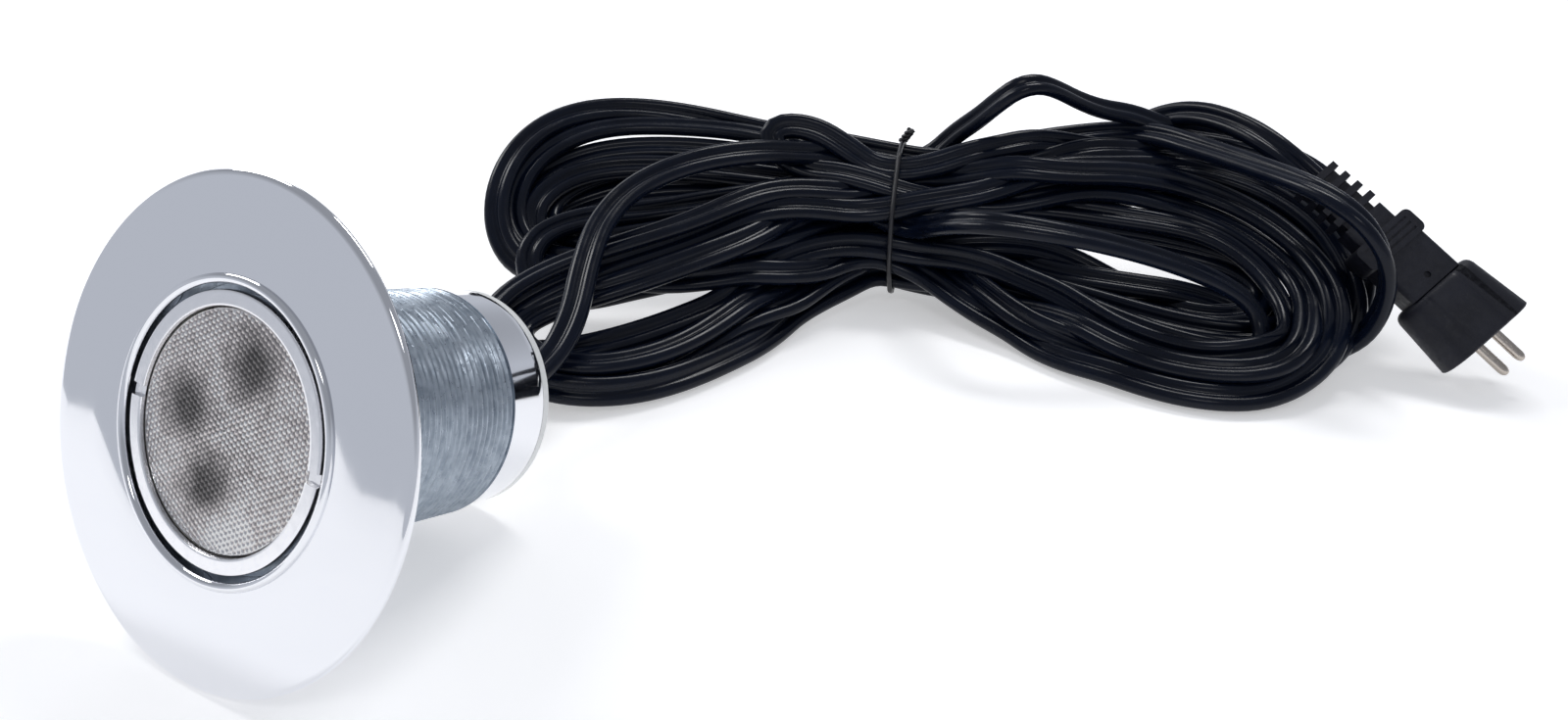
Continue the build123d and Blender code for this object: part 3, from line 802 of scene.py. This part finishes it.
def threaded(radius, depth, theta):
    """A thread, filled by its zinc coating towards the front and sharper towards the rear."""
    near_surface = radius > THREAD_R - 0.1
    on_thread = near_surface & (depth > THREAD_TOP + 0.1) & (depth < THREAD_END - 0.1)
    phase = (depth / PITCH - theta / (2 * math.pi)) % 1
    groove = np.clip(np.abs(2 * phase - 1) * 1.5 - 0.25, 0, 1)
    rearward = np.clip((depth - 18) / 30, 0, 1)
    worn = 0.75 + 0.25 * np.sin(3 * theta + depth * 0.21) * np.sin(1.7 + 5 * theta - depth * 0.13)
    cut = groove * worn * (GROOVE_FRONT + GROOVE_GAIN * rearward)
    return radius - np.where(on_thread, cut, 0), depth


body_profile = (
    [(25.45, 5.0), (27.35, 5.0), (27.35, THREAD_TOP), (THREAD_R, THREAD_TOP)]
    + span((THREAD_R, THREAD_TOP), (THREAD_R, THREAD_END), 300)
    + [(THREAD_R, THREAD_END), (24.6, THREAD_END), (22.5, THREAD_END), (22.5, 10.0), (21.5, 10.0),
       (21.5, 8.0), (25.45, 8.0)]
)
body = lathe("zinc_threaded_body", body_profile, "light", zinc, 240, threaded)
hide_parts("threaded_body")

BAND_R = 24.15
band_profile = (
    [(BAND_R, THREAD_END), (BAND_R, 53.0)] + span((BAND_R, 53.0), (BAND_R, 63.0), 6)
    + [(BAND_R, 63.0), (24.05, 63.3), (20.0, 63.3), (20.0, 46.0), (22.5, 46.0), (22.5, 48.6),
       (21.3, 48.6), (21.3, 50.4), (22.5, 50.4), (22.5, THREAD_END)]
)
band = lathe("chrome_rear_band", band_profile, "light", chrome, 256)
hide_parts("rear_barrel")

DISC_EDGE_R = 0.6
DISC_FACE = 65.4
disc_profile = (
    [(5.0, DISC_FACE), (5.0, 59.5), (19.0, 59.5), (20.0, 59.7), (20.0, 60.8), (19.0, 60.8),
     (19.0, 62.4), (20.0, 62.4), (20.0, 63.3), (23.9, 63.3), (24.1, 63.4)]
    + arc((BAND_R - DISC_EDGE_R, DISC_FACE - DISC_EDGE_R), DISC_EDGE_R, 0, -90, 8)
    + [(16.0, DISC_FACE), (15.6, 65.2), (9.4, 65.2), (9.0, DISC_FACE)]
)
rear = lathe("white_end_disc", disc_profile, "light", white_plastic, 192)
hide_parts("rear_disc")

# The gland's ribs: where each one starts, and its outline from there.
GLAND_RIBS = ((6.9, 67.6), (6.3, 69.4), (6.0, 71.2), (5.7, 73.0), (5.4, 74.8))
RIB_OUTLINE = ((0.0, 0.0), (-0.1, 0.9), (-0.7, 1.0), (-0.75, 1.6))
gland_profile = (
    [(3.2, 58.0), (7.0, 58.0), (7.0, 59.5), (5.0, 59.5), (5.0, DISC_FACE), (7.0, DISC_FACE),
     (7.0, 67.4)]
    + [(rib_r + inward, rib_depth + rearward) for rib_r, rib_depth in GLAND_RIBS
       for inward, rearward in RIB_OUTLINE]
    + [(4.9, 76.6), (4.7, 78.6), (4.4, 79.0), (4.05, 79.0)]
)
gland = lathe("ribbed_gland", gland_profile, "light", rubber, 96)
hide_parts("cord_gland")

# --- front parts -------------------------------------------------------------------------------------
RING_R = 26.2
RING_INNER_R = 23.15
SLOT_ANGLE = math.radians(-4.0)
SLOT_HALF = 1.1
SLOT_R = 24.7                   # from the axis to the middle of a slot
half_slot = SLOT_HALF / SLOT_R
# Angles just inside and just outside each edge of a slot, so that its walls stand upright.
slot_edges = [SLOT_ANGLE + side + sign * (half_slot + step)
              for side in (0, math.pi) for sign in (-1, 1) for step in (-0.004, 0.004)]
ring_angles = np.sort(np.mod(np.r_[np.arange(240) * 2 * math.pi / 240, slot_edges], 2 * math.pi))


def slotted(radius, depth, theta):
    """Two spanner slots across the ring's face."""
    across = np.abs(np.sin(theta - SLOT_ANGLE)) * SLOT_R
    in_slot = (across < SLOT_HALF) & (depth < 1.05)
    return radius, np.where(in_slot, 1.1, depth)


ring_profile = (
    [(RING_INNER_R, 1.5), (RING_INNER_R, 0.55), (RING_INNER_R + 0.12, 0.36),
     (RING_INNER_R + 0.3, 0.3)]
    + span((RING_INNER_R + 0.3, 0.3), (RING_R - 0.3, 0.3), 6)
    + [(RING_R - 0.3, 0.3), (RING_R - 0.1, 0.38), (RING_R, 0.6), (RING_R, 1.5), (25.4, 1.5),
       (25.4, 6.8), (25.2, 7.0), (24.3, 7.0), (24.3, 1.5)]
)
lens_ring = lathe("slotted_lens_ring", ring_profile, "ring", satin, ring_angles, slotted)
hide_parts("lens_ring")

# The lens and the tray are open on the axis, by one step of the spans that start at NEAR_AXIS.
NEAR_AXIS = 0.02
WINDOW_R = 22.6
WINDOW_DEPTH = 1.2
DOME_PITCH = 1.16               # the domes stand in columns, each half a pitch off the next
DOME_COLUMN = 1.02              # from one column to the next
DOME_R = 0.62 * DOME_PITCH
DOME_HEIGHT = 0.27


def beaded(radius, depth, theta):
    """Small domes moulded all over the lens's front."""
    x, y = radius * np.cos(theta), radius * np.sin(theta)
    nearest = np.full_like(x, np.inf)
    for shift_x, shift_y in ((0, 0), (DOME_COLUMN, DOME_PITCH / 2)):
        dx = (x + shift_x + DOME_COLUMN) % (2 * DOME_COLUMN) - DOME_COLUMN
        dy = (y + shift_y + DOME_PITCH / 2) % DOME_PITCH - DOME_PITCH / 2
        nearest = np.minimum(nearest, dx ** 2 + dy ** 2)
    dome = np.clip(1 - nearest / DOME_R ** 2, 0, 1)
    on_window = (depth < WINDOW_DEPTH + 0.1) & (radius < WINDOW_R)
    return radius, depth + np.where(on_window, DOME_HEIGHT * (1 - dome), 0)


lens_profile = (
    span((NEAR_AXIS, WINDOW_DEPTH), (WINDOW_R, WINDOW_DEPTH), 120)
    + [(22.65, 1.25), (22.8, 1.4), (22.8, 2.2), (23.8, 2.2), (23.95, 2.35), (23.95, 6.0),
       (23.0, 6.0), (22.9, 3.0)]
    + span((22.9, 3.0), (NEAR_AXIS, 3.0), 6)
)
lens = lathe("beaded_lens", lens_profile, "light", lens_clear, 450, beaded, crease=70)
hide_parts("lens")

# The tray behind the lens, with a deep bowl in front of each of the three emitters.
TRAY_DEPTH = 3.3
BOWL_R = 6.4
BOWL_DEPTH = 9.0
BOWLS = ((-12.4, 3.0), (6.0, 10.9), (-1.0, -10.7))


def bowled(radius, depth, theta):
    """A smooth bowl sunk into the tray's face at each of the three places."""
    x, y = radius * np.cos(theta), radius * np.sin(theta)
    sunk = np.zeros_like(x)
    for bowl_x, bowl_y in BOWLS:
        inward = np.clip(1 - np.hypot(x - bowl_x, y - bowl_y) / BOWL_R, 0, 1)
        sunk = np.maximum(sunk, BOWL_DEPTH * inward ** 2 * (3 - 2 * inward))
    on_face = depth < TRAY_DEPTH + 0.1
    return radius, depth + np.where(on_face, sunk, 0)


tray_profile = (
    span((NEAR_AXIS, TRAY_DEPTH), (21.6, TRAY_DEPTH), 70)
    + [(21.7, TRAY_DEPTH + 0.1), (21.7, 12.1), (21.2, 12.1), (21.2, TRAY_DEPTH + 0.5)]
)
tray = lathe("bowled_optic_tray", tray_profile, "light", holder, 220, bowled,
             closed=False)
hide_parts("optic_holder")

# --- plug --------------------------------------------------------------------------------------------
PLUG_FACE = np.array([203.4, 202.8, 13.4])
SKIRT_HALF = (14.0, 7.5)        # half the width and the thickness at the face
SHOULDER_HALF = (12.7, 6.9)     # and at the shoulder
SKIRT_LENGTH = 18.7
SKIRT_CORNER_R = 6.6
SHOULDER_R = 2.3                # the rounding at the end of the block
LIP = 0.35                      # the rounding at the edge of the face
PANEL_HALF = 4.5
PANEL_RISE = 0.4
# Places across the width where the flat sides have points, closer together at the panel's edges.
FLAT_SIDE = (8.2, 7.0, 6.0, 5.2, 4.9, 4.6, 4.2, 3.0, 0.0, -3.0, -4.2, -4.6, -4.9, -5.2, -6.0)
plug_side = unit(plug_width - (plug_width @ plug_axis) * plug_axis)
plug_thick = np.cross(plug_axis, plug_side)


def skirt_section(half, inset, panel):
    """A flat oval outline inset from its full size, its middle third raised by panel."""
    across, through = half[0] - inset, half[1] - inset
    end = min(through, SKIRT_CORNER_R)
    points = []
    for side in (1, -1):
        for turn in np.radians(np.linspace(-90, 90, 19)):
            width = across - end + end * math.cos(turn)
            thickness = math.sin(turn) * end + math.copysign(through - end, math.sin(turn))
            points.append((side * width, side * thickness))
        for place in FLAT_SIDE:
            lift = panel * min(max((PANEL_HALF + 0.5 - abs(place)) / 0.6, 0), 1)
            points.append((side * place, side * (through + lift)))
    return np.array(points)


def skirt_rings():
    """The block's outlines from its recessed face to its shoulder: distance behind the face, half
    sizes, inset and the panel's rise."""
    yield 1.4, SKIRT_HALF, 2.2, 0.0
    yield 0.3, SKIRT_HALF, 1.8, 0.0
    yield 0.0, SKIRT_HALF, 1.4, 0.2
    yield 0.0, SKIRT_HALF, LIP, 0.3
    yield LIP, SKIRT_HALF, 0.0, PANEL_RISE
    taper = SKIRT_LENGTH - SHOULDER_R - LIP
    for way in np.linspace(0.1, 1, 10):
        half = np.array(SKIRT_HALF) * (1 - way) + np.array(SHOULDER_HALF) * way
        yield LIP + way * taper, half, 0.0, PANEL_RISE
    for turn in np.radians([25, 45, 65, 90]):
        behind = SKIRT_LENGTH - SHOULDER_R + SHOULDER_R * math.sin(turn)
        yield behind, SHOULDER_HALF, SHOULDER_R * (1 - math.cos(turn)), PANEL_RISE * math.cos(turn)


def in_plug(points):
    """Points given as (along the width, through the thickness, behind the face), in mm."""
    return PLUG_FACE + points @ np.array([plug_side, plug_thick, -plug_axis])


rings = []
for behind, half, inset, panel in skirt_rings():
    outline_points = skirt_section(half, inset, panel)
    rings.append(np.c_[outline_points, np.full(len(outline_points), behind)])
faces = grid_faces(len(rings), len(rings[0])) + end_faces(len(rings), len(rings[0]))
skirt = mesh_piece("plug_housing", in_plug(np.concatenate(rings)), faces, "light",
                   plug_plastic)
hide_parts("plug_skirt")

PIN_R = 1.4
PIN_SPREAD = 2.9                # from the plug's axis to a pin's
PIN_ROOT = 4.0                  # length inside the block
pin_reach = [0.0, 4.0, 8.0, 12.2, 12.9, 13.5, 13.85, 14.0]
pin_radii = np.array([PIN_R, PIN_R, PIN_R, PIN_R, 1.28, 1.02, 0.7, 0.3])
pin_parts = []
for side in (-1, 1):
    foot = PLUG_FACE - PIN_ROOT * plug_axis + side * PIN_SPREAD * plug_side
    pin_line = np.array([foot + reach * plug_axis for reach in pin_reach])
    pin_parts.append(tube(pin_line, pin_radii, 32))
points, faces = joined(pin_parts)
pins = mesh_piece("contact_pins", points, faces, "light", nickel)
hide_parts("plug_pins")

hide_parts("cord_lead", "cord_tail", "cord_hank")

# --- floor and light ---------------------------------------------------------------------------------
floor_surface = Surface("floor", (0.85, 0.85, 0.86), 0.6, Specular_IOR_Level=0.1)
floor_surface.shader.inputs["Emission Color"].default_value = (1, 1, 1, 1)
floor_surface.shader.inputs["Emission Strength"].default_value = 0.4
floor_surface.tint(floor_surface.noise(0.01), (0.84, 0.84, 0.85), (0.87, 0.87, 0.88))
table_turn = math.radians(18.0)
table_middle = (0.208, 0.617)
table_half = (1.0, 1.2)
corners = []
for right_side, far_side in ((-1, -1), (1, -1), (1, 1), (-1, 1)):
    x, y = right_side * table_half[0], far_side * table_half[1]
    corners.append((table_middle[0] + x * math.cos(table_turn) - y * math.sin(table_turn),
                    table_middle[1] + x * math.sin(table_turn) + y * math.cos(table_turn), 0.0))
floor_mesh = bpy.data.meshes.new("floor")
floor_mesh.from_pydata(corners, [], [(0, 1, 2, 3)])
floor_mesh.materials.append(floor_surface.material)
floor = bpy.data.objects.new("floor", floor_mesh)
bpy.context.scene.collection.objects.link(floor)

world = bpy.data.worlds.new("studio")
world.use_nodes = True
bpy.context.scene.world = world
background = world.node_tree.nodes["Background"]
way = world.node_tree.nodes.new("ShaderNodeTexCoord")
parts = world.node_tree.nodes.new("ShaderNodeSeparateXYZ")
sky = world.node_tree.nodes.new("ShaderNodeValToRGB")
world.node_tree.links.new(way.outputs["Generated"], parts.inputs[0])
world.node_tree.links.new(parts.outputs["Z"], sky.inputs["Fac"])
world.node_tree.links.new(sky.outputs[0], background.inputs["Color"])
horizon, zenith = sky.color_ramp.elements
horizon.position = 0.16
horizon.color = (0.54, 0.565, 0.625, 1)
zenith.position = 0.42
zenith.color = (0.32, 0.335, 0.37, 1)
background.inputs["Strength"].default_value = 1.0


def softbox(name, place, aim, width, height, radiance):
    """A lamp of width by height metres whose face has the given radiance."""
    light = bpy.data.lights.new(name, "AREA")
    light.shape = "RECTANGLE"
    light.size, light.size_y = width, height
    light.energy = radiance * math.pi * width * height
    lamp = bpy.data.objects.new(name, light)
    lamp.location = place
    lamp.rotation_euler = (Vector(aim) - Vector(place)).to_track_quat("-Z", "Y").to_euler()
    bpy.context.scene.collection.objects.link(lamp)


softbox("top_light", (0.0, 0.75, 1.15), (0.05, 0.1, 0.0), 0.6, 0.22, 13.0)
softbox("left_light", (-0.9, 0.1, 0.9), (0.0, 0.05, 0.03), 0.3, 0.5, 9.0)
softbox("back_light", (-1.0, 0.65, 0.62), (0.0, 0.05, 0.03), 0.7, 0.5, 1.6)
softbox("front_light", (0.5, -0.7, 1.1), (0.05, 0.1, 0.03), 0.4, 0.2, 6.0)
